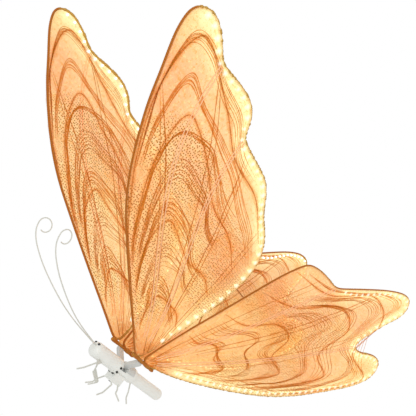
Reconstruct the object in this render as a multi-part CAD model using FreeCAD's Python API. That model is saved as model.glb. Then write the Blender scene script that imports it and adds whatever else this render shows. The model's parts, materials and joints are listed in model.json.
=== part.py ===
import FreeCAD, Part
import math
import os
from FreeCAD import Vector

# A hanging butterfly display with light-up fabric wings.
# Everything is drawn in the body's own frame and turned to its display pose when it is saved:
#   forward  along the body tube towards the head      (-Y while drawing)
#   left     the butterfly's left                      (+X)
#   up       square to the tube, on the wings' side    (+Z while drawing)
# Lengths are millimetres and angles are degrees.

# ---------------------------------------------------------------- driving dimensions
BODY_PITCH = 50.0            # head-up tilt of the body in its display pose

TUBE_RADIUS = 12.7           # 25.4 mm plastic tube, head to wings
TAIL_RADIUS = 10.0           # 20 mm plastic tube, wings to tail
TUBE_WALL = 2.0
HEAD_RIM = 83.0              # front end of the body tube, measured along the body
TUBE_STEP = -10.0            # rear end of the body tube, where the tail tube plugs in
TAIL_RIM = -86.0             # rear end of the tail tube
FLANGE_LENGTH = 2.0          # shoulder of the tail tube against the body tube
FLANGE_RADIUS = 12.2
PLUG_LENGTH = 6.0
CAP_SKIRT = 8.0              # length of each cap's plug inside its tube
SPIGOT_AT = -62.0            # where a pole clip grips the bare tail
PLAY = 0.1                   # gap left between parts that only have to clear each other
BEYOND = 20.0                # half-size of cutting blocks, more than any tube's radius

# A wing surface is the plane  left = offset + twist * forward + splay * up
FORE_PLANE = (18.0, 0.10, 0.30)
HIND_PLANE = (22.5, 0.00, 0.26)

# Wing outlines in side elevation, as (forward, up) points joined by one smooth closed curve
FORE_OUTLINE = [
    (53, 37), (142, 88), (221, 134), (289, 178), (322, 206), (353, 239), (384, 277), (410, 316),
    (434, 356), (436, 378), (421, 391), (393, 391), (368, 381), (352, 375), (337, 376), (300, 381),
    (269, 379), (246, 364), (233, 351), (219, 348), (176, 347), (129, 340), (92, 318), (40, 295),
    (9, 267), (-4, 224), (3, 142), (18, 72), (28, 42), (33, 35), (45, 33),
]
HIND_OUTLINE = [
    (19, 40), (-9, 132), (-37, 208), (-81, 317), (-94, 334), (-115, 343), (-169, 350), (-197, 353),
    (-220, 366), (-315, 430), (-370, 458), (-405, 460), (-418, 445), (-403, 397), (-382, 345),
    (-377, 326), (-383, 314), (-396, 313), (-440, 329), (-475, 336), (-499, 327), (-507, 305),
    (-495, 279), (-433, 220), (-309, 133), (-174, 76), (-60, 41), (-2, 30), (12, 30), (17, 33),
]
FORE_WIRE_RADIUS = 2.0
HIND_WIRE_RADIUS = 1.8
FABRIC = 0.6                 # cloth thickness
GLUE_GAP = 0.02              # between cloth and the wires that lie on it
ARC_TOLERANCE = 0.5          # how closely bent wires follow their smooth curves

LED_PITCH = 1000.0 / 60.0    # sixty lamps to the metre
LED_RADIUS = 1.8
LAMP_CABLE_RADIUS = 0.6
LAMP_INSET = 7.0             # the lamp string runs this far inside the wing's edge wire
FORE_LAMPS = (10, 27)        # the string's first and last points in the list of outline points
HIND_LAMPS = (8, 26)
LOOP_TURN = 1                # both outlines run the same way round, which tells inside from outside

RIB_RADIUS = 0.75
RIB_GAP = 5.0                # spacing of the two wires of a rib
FORE_RIBS = [
    [(62, 62), (97, 96), (205, 182), (290, 260), (335, 330), (351, 371)],
    [(46, 60), (119, 168), (178, 240), (212, 294), (231, 346)],
]
HIND_RIBS = [
    [(2, 46), (-49, 109), (-93, 173), (-144, 263), (-195, 348)],
    [(-8, 40), (-118, 110), (-249, 206), (-374, 311)],
]

# Flap drive, inside the body tube: two wing gears in mesh side by side, and a pinion of the same
# size below them that drives the left one.
GEAR_MODULE = 0.8
GEAR_TEETH = 12
PRESSURE_ANGLE = 25.0
BACKLASH = 0.1               # taken off each tooth's width at the pitch circle
AXLE_LEFT = GEAR_MODULE * GEAR_TEETH / 2
AXLE_UP = 5.0
PINION_UP = AXLE_UP - AXLE_LEFT * math.sqrt(3)
AXLE_RADIUS = 1.2
AXLE_RUNNING_GAP = 0.05
AXLE_STUB = 1.0              # how far the axle stands out in front of the arm
BUSH_RADIUS = 2.0
HUB_RADIUS = 3.0

GEAR_ZONE = 10.0             # length of the long wing gear
GEAR_FACE = 4.5              # face width of the short wing gear and of the pinion
PLATE_THICKNESS = 3.0
PLATE_GAP = 1.0              # end float between the gears and the bearing plates
PLATE_REAR = TUBE_STEP + PLUG_LENGTH + PLAY + PLATE_THICKNESS
GEARS_REAR = PLATE_REAR + PLATE_GAP
GEARS_FRONT = GEARS_REAR + GEAR_ZONE
PLATE_FRONT = GEARS_FRONT + PLATE_GAP
ARM_WIDTH = 12.0
ARM_GAP = 0.8                # end float between a wing's arm and the front bearing plate
ARM_REAR = PLATE_FRONT + PLATE_THICKNESS + ARM_GAP
ARM_FRONT = ARM_REAR + ARM_WIDTH
ARM_TIP = (27.4, 22.8)       # left and up of the arm's tip, tucked under the root bar
ARM_TIP_RADIUS = 3.0
GEAR_SLOT_BOTTOM = 1.0       # the body tube is open above this over the gears
ARM_SLOT_BOTTOM = -2.0       # and above this where the arms swing

ROOT_BAR_FRONT = (44.0, 31.1, 28.5)    # forward, left, up
ROOT_BAR_REAR = (-12.0, 29.4, 26.4)
ROOT_BAR_RADIUS = 3.0

COLLAR_REAR = ARM_FRONT + 1.2          # collar of the electronics box round the body tube
COLLAR_FRONT = COLLAR_REAR + 8.0
COLLAR_RADIUS = 14.2
COLLAR_TOP = 5.0
BOX_FRONT = COLLAR_REAR + 1.0
BOX_REAR = BOX_FRONT - 23.0
BOX_HALF_WIDTH = 10.0
BOX_TOP = -9.0
BOX_BOTTOM = -26.0
BOX_WALL = 1.8
BOX_CEILING = -TUBE_RADIUS - BOX_WALL
SCREW_RADIUS = 1.0
SCREW_HEAD_RADIUS = 2.0
SCREW_HEAD = 1.5
SCREW_SHORT = 0.6                      # the screws stop this far short of the tube's bore
SCREW_BEARINGS = (0.0, -35.0, -70.0)   # round the collar from its left-hand side

ANTENNA_RADIUS = 0.9
LEG_RADIUS = 1.2

LEFT, RIGHT = 1, -1


# ---------------------------------------------------------------- frames and saving
def at(forward, left, up):
    """A point given in the body's own directions."""
    return Vector(left, -forward, up)


def mirrored(shape):
    """The right-hand twin of a left-hand shape."""
    return shape.mirror(Vector(0, 0, 0), Vector(1, 0, 0))


def save(name, shape):
    """Turn a shape to the display pose, put the tail spigot at the origin and write it."""
    placed = shape.copy()
    placed.translate(at(SPIGOT_AT, 0, 0) * -1)
    placed.rotate(Vector(0, 0, 0), Vector(1, 0, 0), -BODY_PITCH)
    placed.exportStep(os.path.join("parts", name + ".step"))


def save_pair(name, left_shape):
    save("left_" + name, left_shape)
    save("right_" + name, mirrored(left_shape))


# ---------------------------------------------------------------- basic solids
def largest(shape):
    """The biggest solid that a cut left."""
    return max(shape.Solids, key=lambda piece: piece.Volume)


def rod(start, end, radius):
    """A round bar between two points."""
    span = end - start
    return Part.makeCylinder(radius, span.Length, start, span)


def along_body(rear, front, left, up, radius):
    """A round bar parallel to the body tube."""
    return rod(at(rear, left, up), at(front, left, up), radius)


def block(rear, front, right, left, bottom, top):
    """A rectangular block given by its limits in the body's directions."""
    corner = at(front, right, bottom)
    return Part.makeBox(left - right, front - rear, top - bottom, corner)


def fuse(shapes):
    return shapes[0].multiFuse(shapes[1:]).removeSplitter()


def smooth(points, closed=False):
    """A smooth curve through the points."""
    curve = Part.BSplineCurve()
    curve.interpolate(Points=points, PeriodicFlag=closed)
    return curve


def arcs_along(curve):
    """The same curve as a chain of tangent circular arcs, the way wire is bent."""
    return Part.Wire([arc.toShape() for arc in curve.toBiArcs(ARC_TOLERANCE)])


def pipe(path, radius):
    """A round wire bent along a chain of arcs."""
    first = path.Edges[0]
    start = first.valueAt(first.FirstParameter)
    heading = first.tangentAt(first.FirstParameter)
    ring = Part.Wire([Part.makeCircle(radius, start, heading)])
    return path.makePipeShell([ring], True, False)


def bent_wire(points, radius):
    """A wire with straight runs and rounded bends, free at both ends."""
    pieces = [rod(a, b, radius) for a, b in zip(points, points[1:])]
    pieces += [Part.makeSphere(radius, p) for p in points]
    return fuse(pieces)


# ---------------------------------------------------------------- wings
def plane_normal(plane):
    """Unit normal of a wing plane, pointing away from the body."""
    _, twist, splay = plane
    return Vector(1, twist, -splay).normalize()


def on_wing(plane, forward, up, stand=0.0):
    """A point of a wing plane, lifted off its outer side by stand."""
    offset, twist, splay = plane
    left = offset + twist * forward + splay * up
    return at(forward, left, up) + plane_normal(plane) * stand


def outline_curve(plane, outline, stand=0.0):
    return smooth([on_wing(plane, f, u, stand) for f, u in outline], closed=True)


def edge_frame(plane, outline, radius):
    """The wing's edge wire, one closed loop."""
    return pipe(arcs_along(outline_curve(plane, outline)), radius)


def fore_frame():
    return edge_frame(FORE_PLANE, FORE_OUTLINE, FORE_WIRE_RADIUS)


def hind_frame():
    return edge_frame(HIND_PLANE, HIND_OUTLINE, HIND_WIRE_RADIUS)


def panel(plane, outline, wire_radius):
    """The cloth, glued over the outer side of the edge wire."""
    face = Part.Face(arcs_along(outline_curve(plane, outline, wire_radius)))
    return face.extrude(plane_normal(plane) * FABRIC)


def rib_pair(plane, path, wire_radius):
    """Two parallel thin wires lying on the cloth."""
    stand = wire_radius + FABRIC + RIB_RADIUS + GLUE_GAP
    normal = plane_normal(plane)
    centre = smooth([on_wing(plane, f, u, stand) for f, u in path])
    wires = []
    for side in (-RIB_GAP / 2, RIB_GAP / 2):
        points = []
        for f, u in path:
            point = on_wing(plane, f, u, stand)
            along = centre.tangent(centre.parameter(point))[0]
            points.append(point + along.cross(normal) * side)
        wires.append(pipe(arcs_along(smooth(points)), RIB_RADIUS))
    return wires


def ribs(plane, paths, wire_radius):
    return Part.makeCompound([wire for path in paths for wire in rib_pair(plane, path, wire_radius)])


def lamp_path(plane, outline, first, last, stand):
    """Curve inside the edge wire from one outline point to another, by their places in the list."""
    curve = outline_curve(plane, outline, stand)
    normal = plane_normal(plane)
    points = []
    for f, u in outline[first:last + 1]:
        point = on_wing(plane, f, u, stand)
        inward = curve.tangent(curve.parameter(point))[0].cross(normal) * LOOP_TURN
        points.append(point + inward.normalize() * LAMP_INSET)
    return arcs_along(smooth(points))


def lamp_string(plane, outline, first, last, wire_radius):
    """A thin cable under the cloth and the lamps hanging on its inner side."""
    cable_stand = wire_radius - LAMP_CABLE_RADIUS - GLUE_GAP
    lamp_stand = cable_stand - LAMP_CABLE_RADIUS - LED_RADIUS - GLUE_GAP
    path = lamp_path(plane, outline, first, last, cable_stand)
    drop = plane_normal(plane) * (lamp_stand - cable_stand)
    lamps = [Part.makeSphere(LED_RADIUS, p + drop) for p in path.discretize(Distance=LED_PITCH)]
    return pipe(path, LAMP_CABLE_RADIUS), lamps


def root_bar():
    """Bound rod that both edge wires of a wing pair are seated on."""
    bar = rod(at(*ROOT_BAR_REAR), at(*ROOT_BAR_FRONT), ROOT_BAR_RADIUS)
    ends = [Part.makeSphere(ROOT_BAR_RADIUS, at(*end)) for end in (ROOT_BAR_REAR, ROOT_BAR_FRONT)]
    whole = fuse([bar] + ends)
    seated = [
        fore_frame(),
        hind_frame(),
        panel(FORE_PLANE, FORE_OUTLINE, FORE_WIRE_RADIUS),
        panel(HIND_PLANE, HIND_OUTLINE, HIND_WIRE_RADIUS),
    ]
    for piece in seated:
        whole = whole.cut(piece)
    return largest(whole)


BRIDGE_UP = 214.0
BRIDGE_FRONT = -3.6
BRIDGE_REAR = -38.0
BRIDGE_RADIUS = 1.2


def bridge_wire():
    """Short strut that ties the two edge wires of a wing together."""
    fore_end = on_wing(FORE_PLANE, BRIDGE_FRONT, BRIDGE_UP)
    hind_end = on_wing(HIND_PLANE, BRIDGE_REAR, BRIDGE_UP)
    return largest(rod(fore_end, hind_end, BRIDGE_RADIUS).cut(fore_frame()).cut(hind_frame()))


GUSSET_CORNERS = [
    (31, 31), (29, 42), (18, 72), (4, 130), (-1, 170), (-4, 205),
    (-33, 205), (-19, 166), (-4, 124), (10, 70), (19, 40), (18, 31),
]


def wing_gusset():
    """Strip of cloth that fills the gap between the forewing and the hindwing."""
    points = [on_wing(HIND_PLANE, f, u) for f, u in GUSSET_CORNERS]
    face = Part.Face(Part.makePolygon(points + points[:1]))
    strip = face.extrude(plane_normal(HIND_PLANE) * FABRIC)
    return largest(strip.cut(fore_frame()).cut(hind_frame()).cut(root_bar()))


def wing_bracket():
    """Broad flat arm from the axle out to the root bar, which is seated in its tip."""
    hub = along_body(ARM_REAR, ARM_FRONT, AXLE_LEFT, AXLE_UP, HUB_RADIUS)
    tip = along_body(ARM_REAR, ARM_FRONT, *ARM_TIP, ARM_TIP_RADIUS)
    reach = at(0, ARM_TIP[0] - AXLE_LEFT, ARM_TIP[1] - AXLE_UP)
    square = at(0, reach.z, -reach.x).normalize() * HUB_RADIUS
    hub_at = at(ARM_REAR, AXLE_LEFT, AXLE_UP)
    tip_at = at(ARM_REAR, *ARM_TIP)
    corners = [hub_at + square, tip_at + square, tip_at - square, hub_at - square]
    web = Part.Face(Part.makePolygon(corners + corners[:1])).extrude(at(ARM_WIDTH, 0, 0))
    bracket = fuse([hub, tip, web])
    for piece in (wing_axle_solid(), root_bar(), fore_frame(), hind_frame()):
        bracket = bracket.cut(piece)
    return largest(bracket)


def save_wings():
    save_pair("forewing_frame", fore_frame())
    save_pair("hindwing_frame", hind_frame())
    save_pair("forewing_cloth", panel(FORE_PLANE, FORE_OUTLINE, FORE_WIRE_RADIUS))
    save_pair("hindwing_cloth", panel(HIND_PLANE, HIND_OUTLINE, HIND_WIRE_RADIUS))
    save_pair("forewing_ribs", ribs(FORE_PLANE, FORE_RIBS, FORE_WIRE_RADIUS))
    save_pair("hindwing_ribs", ribs(HIND_PLANE, HIND_RIBS, HIND_WIRE_RADIUS))
    save_pair("wing_gusset", wing_gusset())
    save_pair("bridge_wire", bridge_wire())
    save_pair("root_bar", root_bar())
    save_pair("wing_bracket", wing_bracket())
    fore_cable, fore_lamps = lamp_string(FORE_PLANE, FORE_OUTLINE, *FORE_LAMPS, FORE_WIRE_RADIUS)
    hind_cable, hind_lamps = lamp_string(HIND_PLANE, HIND_OUTLINE, *HIND_LAMPS, HIND_WIRE_RADIUS)
    save_pair("lamp_cables", Part.makeCompound([fore_cable, hind_cable]))
    save_pair("lamps", Part.makeCompound(fore_lamps + hind_lamps))


# ---------------------------------------------------------------- flap drive
def involute(base_radius, radius):
    """Polar angle turned through by the involute of a circle between two radii."""
    roll = math.sqrt(max((radius / base_radius) ** 2 - 1, 0))
    return roll - math.atan(roll)


TOOTH_ADDENDUM = 0.95        # in modules
TOOTH_DEDENDUM = 1.25
FLANK_STEPS = 5


def gear(teeth, face, rear, centre, tooth_angle):
    """Involute spur gear parallel to the body; one tooth points along tooth_angle from +left to +up."""
    pitch_radius = GEAR_MODULE * teeth / 2
    base_radius = pitch_radius * math.cos(math.radians(PRESSURE_ANGLE))
    tip_radius = pitch_radius + GEAR_MODULE * TOOTH_ADDENDUM
    root_radius = pitch_radius - GEAR_MODULE * TOOTH_DEDENDUM
    start_radius = max(base_radius, root_radius)
    half_tooth = math.pi / (2 * teeth) - BACKLASH / 2 / pitch_radius
    at_pitch = involute(base_radius, pitch_radius)

    def polar(radius, angle):
        return at(rear, centre[0] + radius * math.cos(angle), centre[1] + radius * math.sin(angle))

    def flank(middle, side):
        points = []
        for step in range(FLANK_STEPS + 1):
            radius = start_radius + (tip_radius - start_radius) * step / FLANK_STEPS
            half = half_tooth + at_pitch - involute(base_radius, radius)
            points.append(polar(radius, middle + side * half))
        return points

    def flank_edge(points):
        curve = Part.BSplineCurve()
        curve.interpolate(points)
        return curve.toShape()

    edges = []
    pitch_angle = 2 * math.pi / teeth
    base_half = half_tooth + at_pitch
    for tooth in range(teeth):
        middle = math.radians(tooth_angle) + tooth * pitch_angle
        rising = flank(middle, -1)
        falling = flank(middle, 1)
        root_in = polar(root_radius, middle - base_half)
        root_out = polar(root_radius, middle + base_half)
        valley = polar(root_radius, middle + pitch_angle / 2)
        next_root = polar(root_radius, middle + pitch_angle - base_half)
        edges.append(Part.makeLine(root_in, rising[0]))
        edges.append(flank_edge(rising))
        edges.append(Part.Arc(rising[-1], polar(tip_radius, middle), falling[-1]).toShape())
        edges.append(flank_edge(falling[::-1]))
        edges.append(Part.makeLine(falling[0], root_out))
        edges.append(Part.Arc(root_out, valley, next_root).toShape())
    outline = Part.Wire(Part.__sortEdges__(edges))
    return Part.Face(outline).extrude(at(face, 0, 0))


def meshing_tooth_angle(driver_angle, driver_teeth, driven_teeth, line_angle):
    """Tooth angle of a driven gear whose centre lies at line_angle from the driver's centre."""
    driver_pitch = 360.0 / driver_teeth
    offset = (driver_angle - line_angle + driver_pitch / 2) % driver_pitch - driver_pitch / 2
    return line_angle + 180 - offset * driver_teeth / driven_teeth + 180.0 / driven_teeth


def wing_axle_solid():
    """Left axle: a straight pin running through the arm and both bearing plates."""
    return along_body(PLATE_REAR - PLATE_THICKNESS, ARM_FRONT + AXLE_STUB, AXLE_LEFT, AXLE_UP, AXLE_RADIUS)


def wing_gears():
    """Left gear runs the whole zone; the right one only its rear part, clear of the pinion."""
    left = gear(GEAR_TEETH, GEAR_ZONE, GEARS_REAR, (AXLE_LEFT, AXLE_UP), 0.0)
    right_tooth = meshing_tooth_angle(0.0, GEAR_TEETH, GEAR_TEETH, 180.0)
    right = gear(GEAR_TEETH, GEAR_FACE, GEARS_REAR, (-AXLE_LEFT, AXLE_UP), right_tooth)
    left = left.cut(wing_axle_solid())
    right = right.cut(mirrored(wing_axle_solid()))
    return left, right


MOTOR_REAR = PLATE_FRONT + PLATE_THICKNESS + PLAY
MOTOR_LENGTH = 24.0
GEARBOX_LENGTH = 9.0
MOTOR_HALF_WIDTH = 6.0
MOTOR_HALF_HEIGHT = 4.4
MOTOR_SHAFT_RADIUS = 1.5
SHAFT_IN_MOTOR = 6.0
SHAFT_HOLE_GAP = 0.3         # round the shaft where it passes a bearing plate
CRADLE_LENGTH = 6.0
CRADLE_SET_BACK = 2.0        # from the motor's front end to the cradle's


def drive_pinion():
    """Pinion made in one piece with the motor's output shaft."""
    to_pinion = math.degrees(math.atan2(PINION_UP - AXLE_UP, -AXLE_LEFT))
    tooth = meshing_tooth_angle(0.0, GEAR_TEETH, GEAR_TEETH, to_pinion)
    teeth = gear(GEAR_TEETH, GEAR_FACE, GEARS_FRONT - GEAR_FACE, (0.0, PINION_UP), tooth)
    shaft = along_body(GEARS_FRONT - GEAR_FACE, MOTOR_REAR + SHAFT_IN_MOTOR, 0, PINION_UP, MOTOR_SHAFT_RADIUS)
    return fuse([teeth, shaft])


def motor_block(rear, front):
    """Block with the gearmotor's flat-sided section."""
    return block(rear, front, -MOTOR_HALF_WIDTH, MOTOR_HALF_WIDTH,
                 PINION_UP - MOTOR_HALF_HEIGHT, PINION_UP + MOTOR_HALF_HEIGHT)


def drive_motor():
    """Flat-sided gearmotor lying in the body tube in front of the gears."""
    front = MOTOR_REAR + MOTOR_LENGTH
    gearbox = motor_block(MOTOR_REAR, MOTOR_REAR + GEARBOX_LENGTH)
    can = along_body(MOTOR_REAR + GEARBOX_LENGTH, front, 0, PINION_UP, MOTOR_HALF_WIDTH)
    hole_end = MOTOR_REAR + SHAFT_IN_MOTOR + 1
    hole = along_body(MOTOR_REAR, hole_end, 0, PINION_UP, MOTOR_SHAFT_RADIUS + AXLE_RUNNING_GAP)
    return fuse([gearbox, can.common(motor_block(MOTOR_REAR, front))]).cut(hole)


def motor_cradle():
    """Plug that holds the gearmotor in the body tube, in front of the arms."""
    front = MOTOR_REAR + MOTOR_LENGTH - CRADLE_SET_BACK
    rear = front - CRADLE_LENGTH
    plug = along_body(rear, front, 0, 0, TUBE_RADIUS - TUBE_WALL)
    return plug.cut(motor_block(rear - 1, front + 1))


def bearing_plate(rear):
    """Disc inside the body tube that carries both axle bushes and lets the motor shaft through."""
    front = rear + PLATE_THICKNESS
    plate = along_body(rear, front, 0, 0, TUBE_RADIUS - TUBE_WALL)
    plate = plate.cut(along_body(rear, front, 0, PINION_UP, MOTOR_SHAFT_RADIUS + SHAFT_HOLE_GAP))
    for side in (LEFT, RIGHT):
        plate = plate.cut(along_body(rear, front, side * AXLE_LEFT, AXLE_UP, BUSH_RADIUS))
    return plate


BUSH_FLANGE = 0.6
BUSH_FLANGE_RADIUS = 3.0


def axle_bushes():
    """Four flanged bushes, two in each bearing plate, with a running fit on the axles."""
    bushes = []
    rear_pair = (PLATE_REAR - PLATE_THICKNESS, PLATE_REAR)
    front_pair = (PLATE_FRONT, PLATE_FRONT - BUSH_FLANGE)
    for plate_rear, flange_rear in (rear_pair, front_pair):
        for side in (LEFT, RIGHT):
            place = (side * AXLE_LEFT, AXLE_UP)
            sleeve = along_body(plate_rear, plate_rear + PLATE_THICKNESS, *place, BUSH_RADIUS)
            collar = along_body(flange_rear, flange_rear + BUSH_FLANGE, *place, BUSH_FLANGE_RADIUS)
            bore = along_body(plate_rear - 1, plate_rear + PLATE_THICKNESS + 1, *place,
                              AXLE_RADIUS + AXLE_RUNNING_GAP)
            bushes.append(fuse([sleeve, collar]).cut(bore))
    return Part.makeCompound(bushes)


COVER_RADIUS = 13.9


def gear_cover():
    """Half-round shell clipped over the slot above the gears."""
    rear = PLATE_REAR - PLATE_THICKNESS
    front = PLATE_FRONT + PLATE_THICKNESS
    shell = along_body(rear, front, 0, 0, COVER_RADIUS).cut(along_body(rear, front, 0, 0, TUBE_RADIUS))
    return shell.common(block(rear, front, -BEYOND, BEYOND, 0.0, BEYOND))


# ---------------------------------------------------------------- body
def body_envelope():
    """Everything inside the outer surface of the two tubes."""
    front = along_body(TUBE_STEP, HEAD_RIM, 0, 0, TUBE_RADIUS)
    flange = along_body(TUBE_STEP - FLANGE_LENGTH, TUBE_STEP, 0, 0, FLANGE_RADIUS)
    rear = along_body(TAIL_RIM, TUBE_STEP, 0, 0, TAIL_RADIUS)
    return fuse([front, flange, rear])


def body_tube():
    """Plain plastic tube, slotted above the gears and the arms and drilled for the box screws."""
    tube = along_body(TUBE_STEP, HEAD_RIM, 0, 0, TUBE_RADIUS)
    tube = tube.cut(along_body(TUBE_STEP, HEAD_RIM, 0, 0, TUBE_RADIUS - TUBE_WALL))
    tube = tube.cut(block(PLATE_REAR, PLATE_FRONT, -BEYOND, BEYOND, GEAR_SLOT_BOTTOM, BEYOND))
    tube = tube.cut(block(PLATE_FRONT + PLATE_THICKNESS, ARM_FRONT + ARM_GAP, -BEYOND, BEYOND,
                          ARM_SLOT_BOTTOM, BEYOND))
    for screw in box_screw_shanks():
        tube = tube.cut(screw)
    return tube


def tail_tube():
    """Thinner tube with a shoulder and a plug that fits into the body tube."""
    outside = [
        along_body(TAIL_RIM, TUBE_STEP, 0, 0, TAIL_RADIUS),
        along_body(TUBE_STEP - FLANGE_LENGTH, TUBE_STEP, 0, 0, FLANGE_RADIUS),
        along_body(TUBE_STEP, TUBE_STEP + PLUG_LENGTH, 0, 0, TUBE_RADIUS - TUBE_WALL),
    ]
    return fuse(outside).cut(along_body(TAIL_RIM, 0, 0, 0, TAIL_RADIUS - TUBE_WALL))


def end_cap(rim, towards, radius, length, rounding, bore):
    """Blunt rounded plug that closes one end of a tube."""
    tip = rim + towards * length
    skirt_end = rim - towards * CAP_SKIRT
    nose = along_body(min(rim, tip), max(rim, tip), 0, 0, radius)
    tip_edge = [edge for edge in nose.Edges if edge.Closed and abs(edge.CenterOfMass.y + tip) < 0.01]
    nose = nose.makeFillet(rounding, tip_edge)
    skirt = along_body(min(rim, skirt_end), max(rim, skirt_end), 0, 0, bore)
    hollow = along_body(min(rim, skirt_end), max(rim, skirt_end), 0, 0, bore - TUBE_WALL)
    return fuse([nose, skirt.cut(hollow)])


HEAD_LENGTH = 12.0
HEAD_ROUNDING = 9.0
TAIL_LENGTH = 8.0
TAIL_ROUNDING = 6.0
TAIL_CAP_RADIUS = 9.9        # a little under the tail tube, so that a pole clip slides on over it


def head_cap():
    return end_cap(HEAD_RIM, 1, TUBE_RADIUS, HEAD_LENGTH, HEAD_ROUNDING, TUBE_RADIUS - TUBE_WALL)


def tail_cap():
    return end_cap(TAIL_RIM, -1, TAIL_CAP_RADIUS, TAIL_LENGTH, TAIL_ROUNDING, TAIL_RADIUS - TUBE_WALL)


EYE_RADIUS = 2.4
EYE_PLACE = (91.6, 4.6, 8.8)         # forward, left, up


def eyes():
    """Two round beads let into the head."""
    bead = Part.makeSphere(EYE_RADIUS, at(*EYE_PLACE))
    return [bead, mirrored(bead)]


ANTENNA_PLANE = (-10.8, 0.15, 0.0)     # offset, twist and splay, as for the wings
ANTENNA_PATH = [
    (92, 5), (104, 7), (127, 11), (160, 18), (222, 40), (274, 69), (291, 88),
    (293, 99), (286, 106), (275, 104), (270, 96), (274, 89), (282, 87),
]


def antenna():
    """Thin sprung wire that ends in an open curl."""
    points = [on_wing(ANTENNA_PLANE, f, u) for f, u in ANTENNA_PATH]
    return pipe(arcs_along(smooth(points)), ANTENNA_RADIUS)


STRAP_HALF_THICKNESS = 0.8


def flat_limb(start, end, width_start, width_end):
    """Strap-like stretch of a leg that tapers from one half-width to another."""
    along = (end - start).normalize()
    across = along.cross(Vector(1, 0, 0)).normalize()
    lift = along.cross(across).normalize() * STRAP_HALF_THICKNESS
    corners = [
        start + across * width_start - lift,
        end + across * width_end - lift,
        end - across * width_end - lift,
        start - across * width_start - lift,
    ]
    return Part.Face(Part.makePolygon(corners + corners[:1])).extrude(lift * 2)


def leg(points, flat=None):
    """A bent wire leg; flat gives the stretch that is a strap and its two half-widths."""
    places = [at(*point) for point in points]
    pieces = [bent_wire(places, LEG_RADIUS)]
    if flat is not None:
        first, width_start, width_end = flat
        pieces.append(flat_limb(places[first], places[first + 1], width_start, width_end))
    whole = fuse(pieces)
    return largest(whole.cut(body_envelope()).cut(box_envelope()))


# Each leg is its (forward, left, up) points and its strap, if it has one
LEGS = {
    "left_front_leg": ([(60, 3, -4), (78, 11, -15), (99, 18, -31), (110, 20, -38)], (0, 4.0, 3.4)),
    "right_front_leg": ([(64, -4, -8), (50, -14, -28), (27, -17, -41), (38, -19, -51)], (1, 3.6, 3.0)),
    "left_middle_leg": ([(30, 6, -22), (24, 11, -29), (38, 20, -46), (47, 22, -53)], None),
    "right_middle_leg": ([(28, -7, -22), (27, -22, -36), (27, -27, -45), (35, -30, -52)], None),
    "left_rear_leg": ([(12, 7, -20), (9, 13, -30), (12, 18, -36), (-2, 20, -43)], None),
    "right_rear_leg": (
        [(-6, -9, -9), (-31, -12, -11), (-42, -14, -25), (-52, -20, -35), (-63, -22, -43)], None,
    ),
}


# ---------------------------------------------------------------- electronics box
def box_envelope():
    return block(BOX_REAR, BOX_FRONT, -BOX_HALF_WIDTH, BOX_HALF_WIDTH, BOX_BOTTOM, BOX_TOP)


def box_screw_lines():
    """Inner end, seat and head top of each of the six screws round the collar."""
    place = (COLLAR_REAR + COLLAR_FRONT) / 2
    lines = []
    for side in (LEFT, RIGHT):
        for bearing in SCREW_BEARINGS:
            aim = at(0, side * math.cos(math.radians(bearing)), math.sin(math.radians(bearing)))
            reaches = (TUBE_RADIUS - TUBE_WALL + SCREW_SHORT, COLLAR_RADIUS, COLLAR_RADIUS + SCREW_HEAD)
            lines.append([at(place, 0, 0) + aim * reach for reach in reaches])
    return lines


def box_screw_shanks():
    """Six thread cores, through the collar into the tube wall."""
    return [rod(seat, inner, SCREW_RADIUS) for inner, seat, _ in box_screw_lines()]


def box_screws():
    """Six small pan-head screws, their heads let a little way into the round collar."""
    screws = []
    for inner, seat, top in box_screw_lines():
        let_in = seat - (top - seat) * 0.1
        head = rod(let_in, top, SCREW_HEAD_RADIUS)
        shank = rod(inner, seat, SCREW_RADIUS)
        screws.append(fuse([head, shank]))
    return Part.makeCompound(screws)


def electronics_box():
    """Open-bottomed box hung under the body tube by a collar at its front end."""
    inside = inside_box(0, BOX_BOTTOM, BOX_CEILING)
    collar = along_body(COLLAR_REAR, COLLAR_FRONT, 0, 0, COLLAR_RADIUS)
    collar = collar.common(block(COLLAR_REAR, COLLAR_FRONT, -BEYOND, BEYOND, -BEYOND, COLLAR_TOP))
    shell = fuse([box_envelope().cut(inside), collar])
    shell = shell.cut(along_body(BOX_REAR, COLLAR_FRONT, 0, 0, TUBE_RADIUS))
    for screw in box_screws().Solids:
        shell = shell.cut(screw)
    return shell


LID_THICKNESS = 1.6
BUTTON_RADIUS = 3.0
BUTTON_AT = 21.0
BUTTON_TRAVEL = 0.8
BUTTON_GAP = 0.15
BUTTON_STANDS = 1.4          # below the lid
BUTTON_COLLAR = 0.9          # thickness of the collar that keeps it in
COLLAR_FLOOR = BOX_BOTTOM + LID_THICKNESS + PLAY
BOARD_BOTTOM = COLLAR_FLOOR + BUTTON_COLLAR + BUTTON_TRAVEL + 0.4
BOARD_THICKNESS = 1.0
CELL_BOTTOM = BOARD_BOTTOM + BOARD_THICKNESS + 0.4
CELL_TOP = BOX_CEILING - 0.6
CELL_ROUNDING = 1.2


def inside_box(gap, bottom, top):
    """A block that fills the box between two heights, but for a gap all round."""
    half_width = BOX_HALF_WIDTH - BOX_WALL - gap
    return block(BOX_REAR + BOX_WALL + gap, BOX_FRONT - BOX_WALL - gap, -half_width, half_width, bottom, top)


def box_lid():
    """Plate that snaps into the box's open bottom, with a hole for the button."""
    plate = inside_box(PLAY, BOX_BOTTOM, BOX_BOTTOM + LID_THICKNESS)
    return plate.cut(along_up(BOX_BOTTOM - 1, BOX_BOTTOM + 3, BUTTON_RADIUS + BUTTON_GAP))


def along_up(bottom, top, radius):
    """A round bar square to the tube at the button's place."""
    return rod(at(BUTTON_AT, 0, bottom), at(BUTTON_AT, 0, top), radius)


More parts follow.
